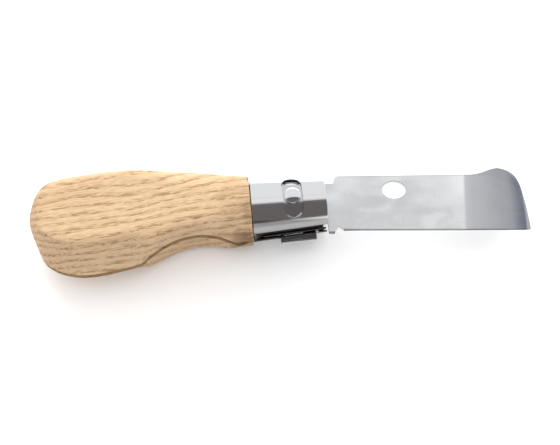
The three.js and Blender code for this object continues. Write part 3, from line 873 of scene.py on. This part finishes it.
# Painted highlight: the plain face just before the grind line and the ground face just past it are
# painted lighter, a painted reflection along the line.
painted_glint_before_line = ground_line.between(54.0, 62.4) * height_on.between(-2.0, 9.0) * 0.75
plain_steel = painted_glint_before_line.mixed(plain_steel, (0.88, 0.88, 0.88))
painted_glint_past_line = (1 - ground_line.between(63.2, 67.0)) * 0.5
darkening = dark_band + (smears - 0.5) * 0.10
ground_steel = darkening.mixed((0.505, 0.51, 0.53), (0.185, 0.195, 0.235))
ground_steel = painted_glint_past_line.mixed(ground_steel, (0.62, 0.62, 0.63))
ground_steel = end_bevel.mixed(ground_steel, (0.42, 0.43, 0.46))
spine_shade = height_on.between(12.0, 12.8) * 0.35
steel = ground_area.mixed(plain_steel, ground_steel)
steel = spine_shade.mixed(steel, (0.36, 0.36, 0.37))
steel = (painted_edge_line * 0.85).mixed(steel, (0.10, 0.10, 0.11))
relief = start.node("Bump", (), {"Strength": 0.6, "Distance": 0.00004,
                                 "Height": brushing * 0.5 + coarse * 0.5 + clouds * 6.0})
dullness = 0.27 + clouds * 0.10 + (brushing - 0.5) * 0.08 + flecks * 0.05 + ground_area * 0.06
connect(satin_shader, Base_Color=steel, Normal=relief, Roughness=dullness)
blade.data.materials.append(satin)
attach(blade, "blade_body")
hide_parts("blade")

# ---------------------------------------------------------------------------- lock ring
# Spring steel, rolled to the collar's cone and polished. Two oblong slots run past the rivet's
# heads, and at one edge of the gap a lip is bent out for the thumb, freed by two saw cuts.

ring_gap = 6.2
ring = rolled_sheet("lock_ring_sheet", ring_low[0], ring_high[0], ring_radius, ring_wall, ring_gap)
head_clearance = 0.5
slot_half = head_radius + head_clearance
ring_travel = math.radians(28)
head_angle = math.asin((head_radius + head_clearance / 2) / ring_radius(0))
slot_reach = ring_radius(0) * math.sin(ring_travel + head_angle)
half_turn = np.linspace(0, math.pi, 41)
slot_x, slot_y = slot_half * np.cos(half_turn), slot_half * np.sin(half_turn)
slot_outline = np.vstack([
    np.stack([slot_x, slot_y + slot_reach - slot_half], 1),
    np.stack([-slot_x, -slot_y - slot_reach + slot_half], 1)])
carve(ring, prism(slot_outline, -past_collar, past_collar, through_pivot))

lip_rear, lip_front = -5.2, 8.1
relief_width, relief_depth = 1.1, 2.3
lip_side_gap, lip_root = 0.1, 0.7
cutter_top = -5


def below_collar(a, b, height):
    """Places a cutter whose outline lies along the collar and across it."""
    return from_collar(a, height, b)


def oblong(x_low, x_high, reach):
    """From the middle of the gap towards the lip's side."""
    return np.array([(x_low, -reach), (x_high, -reach), (x_high, 0.0), (x_low, 0.0)])


for cut_rear in (lip_rear - relief_width, lip_front):
    saw_cut = oblong(cut_rear, cut_rear + relief_width, ring_gap / 2 + relief_depth)
    carve(ring, prism(saw_cut, -past_collar, cutter_top, below_collar))
lip_room = oblong(lip_rear - lip_side_gap, lip_front + lip_side_gap, ring_gap / 2 + lip_root)
carve(ring, prism(lip_room, -past_collar, cutter_top, below_collar))


def thumb_lip():
    """A plate bent outwards, the same at every x. Its middle line is walked from the ring's
    sheet towards the gap by small steps of length d: z and y grow by d cos h and d sin h, where
    the heading h follows the sheet, turns out on a circle, runs, and turns back a little. The
    plate's faces lie t(s) to each side, with t on a quarter circle at the tip."""
    t, bend_radius, flare, tip_flare = ring_wall / 2 - 0.01, 0.5, 24.0, 4.0
    root_reach, root_overlap = 0.35, 0.10
    run, turn_back, tip_run = 0.75, 0.06, 0.62
    x = np.linspace(lip_rear, lip_front, 30)[:, None]
    mid = ring_radius(x) - ring_wall / 2
    base = np.arcsin((ring_gap / 2 + ring_wall / 2 + root_reach) / mid)
    out, back_in = math.radians(270 + flare), math.radians(270 + tip_flare)
    turn_steps, run_steps, tip_steps = 14, 6, 4
    first = math.pi + base
    heading = np.hstack([
        first + np.linspace(0, 1, turn_steps)[None, :] * (out - first),
        np.full((len(x), run_steps), out),
        np.tile(np.linspace(out, back_in, run_steps), (len(x), 1)),
        np.full((len(x), run_steps), back_in)])
    step = np.hstack([
        np.tile(bend_radius * (out - first) / (turn_steps - 1), (1, turn_steps)),
        np.full((len(x), run_steps), run / run_steps),
        np.full((len(x), run_steps), turn_back),
        np.full((len(x), run_steps), tip_run / run_steps)])
    z = mid * np.sin(base) + np.cumsum(step * np.cos(heading), axis=1)
    y = -mid * np.cos(base) + np.cumsum(step * np.sin(heading), axis=1)
    rooted = base + np.linspace(root_overlap, 0, run_steps)[None, :]
    z, y = np.hstack([mid * np.sin(rooted), z]), np.hstack([-mid * np.cos(rooted), y])
    way = np.hstack([math.pi + rooted, heading])
    tip = np.radians([20, 45, 65, 82])[None, :]
    z = np.hstack([z, z[:, -1:] + t * np.sin(tip) * math.cos(back_in)])
    y = np.hstack([y, y[:, -1:] + t * np.sin(tip) * math.sin(back_in)])
    way = np.hstack([way, np.full((len(x), tip_steps), back_in)])
    thick = np.hstack([np.full(z.shape[1] - tip_steps, t), t * np.cos(tip[0])])[None, :]
    faces_z = [z - s * thick * np.sin(way) for s in (1, -1)]
    faces_y = [y + s * thick * np.cos(way) for s in (1, -1)]
    loop_z = np.hstack([faces_z[0], faces_z[1][:, ::-1]])
    loop_y = np.hstack([faces_y[0], faces_y[1][:, ::-1]])
    return skin("cutter", from_collar(x, loop_y, -loop_z), flat_ends=True)


carve(ring, thumb_lip(), "UNION")
soften(ring, 32)
ring.data.materials.append(
    drawn_steel("polished_ring_steel", (0.79, 0.79, 0.79), 0.09, 0.45, painted_shade_amount=0.75))
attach(ring, "ring_body")
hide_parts("lock_ring")

# ---------------------------------------------------------------------------- studio
# A pale bench top, and soft light from a bright room. Polished steel mirrors a dark room front
# between a bright ceiling and a bright strip at bench height.

bench_half = 3
bench_levels = (-0.02, 0.0)
bench_corners = [(-bench_half, -bench_half), (bench_half, -bench_half),
                 (bench_half, bench_half), (-bench_half, bench_half)]
bench = skin("bench_top", np.array([[(x, y, z) for x, y in bench_corners] for z in bench_levels]),
             (0, 0, bench_levels[0]), (0, 0, bench_levels[1]))
pale, pale_shader, start = finish_of("pale_bench", Roughness=0.9, Specular_IOR_Level=0.1)
flat_place = start.node("TexCoord", output=3)
mottle = start.node("TexNoise", (), {"Vector": flat_place, "Scale": 3.0, "Detail": 3.0})
pale_tones = mottle.ramp((0.3, (0.935, 0.931, 0.929)), (0.7, (0.96, 0.957, 0.955)))
connect(pale_shader, Base_Color=pale_tones)
bench.data.materials.append(pale)

world = bpy.data.worlds.new("bright_room")
bpy.context.scene.world = world
world.use_nodes = True
background = world.node_tree.nodes["Background"]
start = Shade(world.node_tree)
direction = start.node("TexCoord")
across_y = start.node("SeparateXYZ", (), {"Vector": direction}, output=1)
upward_z = start.node("SeparateXYZ", (), {"Vector": direction}, output=2)
elevation = start.math("ARCTAN2", upward_z, across_y * -1.0) * math.degrees(1)
room_front = elevation.between(11.0, 17.0) * (1 - elevation.between(81.0, 91.0))
mirrored = room_front.mixed((0.98, 0.99, 1.0), (0.155, 0.138, 0.138))
ceiling_line = elevation.between(104.0, 106.0) * (1 - elevation.between(107.0, 110.0)) * 0.25
mirrored = ceiling_line.mixed(mirrored, (0.5, 0.5, 0.5))
towards_back = across_y * 0.7 + upward_z * 0.7
even = (towards_back * 0.5 + 0.5).mixed((0.60, 0.592, 0.588), (1.44, 1.44, 1.45))
is_glossy = start.node("LightPath", output=3)
seen = is_glossy.mixed(even, mirrored)
world.node_tree.links.new(seen.socket, background.inputs["Color"])

# A wide soft lamp behind the bench lights the backs of the pieces. Polished steel doesn't
# mirror it.
lamp_data = bpy.data.lights.new("wide_lamp", "AREA")
lamp_data.shape = "RECTANGLE"
lamp_data.size, lamp_data.size_y = 1.4, 0.5
lamp_data.energy = 14.5
lamp = bpy.data.objects.new("wide_lamp", lamp_data)
lamp.visible_glossy = False
lamp_way = np.array([0.12, 0.88, 0.46])
lamp.location = lamp_way
lamp.rotation_euler = Vector(lamp_way).to_track_quat("Z", "Y").to_euler()
bpy.context.scene.collection.objects.link(lamp)

# Camera, 300 mm from the collar, looking down at 64 degrees from slightly to the left.
azimuth, camera_rise, distance = math.radians(-5.35), math.radians(64), 0.300
target = from_collar(-5.02, -5.86, 0.0)
sight = np.array([math.sin(azimuth) * math.cos(camera_rise),
                  -math.cos(azimuth) * math.cos(camera_rise), math.sin(camera_rise)])
camera_data = bpy.data.cameras.new("camera")
camera_data.lens = 52.4
camera_data.sensor_width = 36.0
camera_data.clip_start = 0.01
camera = bpy.data.objects.new("camera", camera_data)
camera.location = target + sight * distance
camera.rotation_euler = Vector(sight).to_track_quat("Z", "Y").to_euler()
bpy.context.scene.collection.objects.link(camera)
bpy.context.scene.camera = camera
bpy.context.scene.view_settings.view_transform = "Standard"
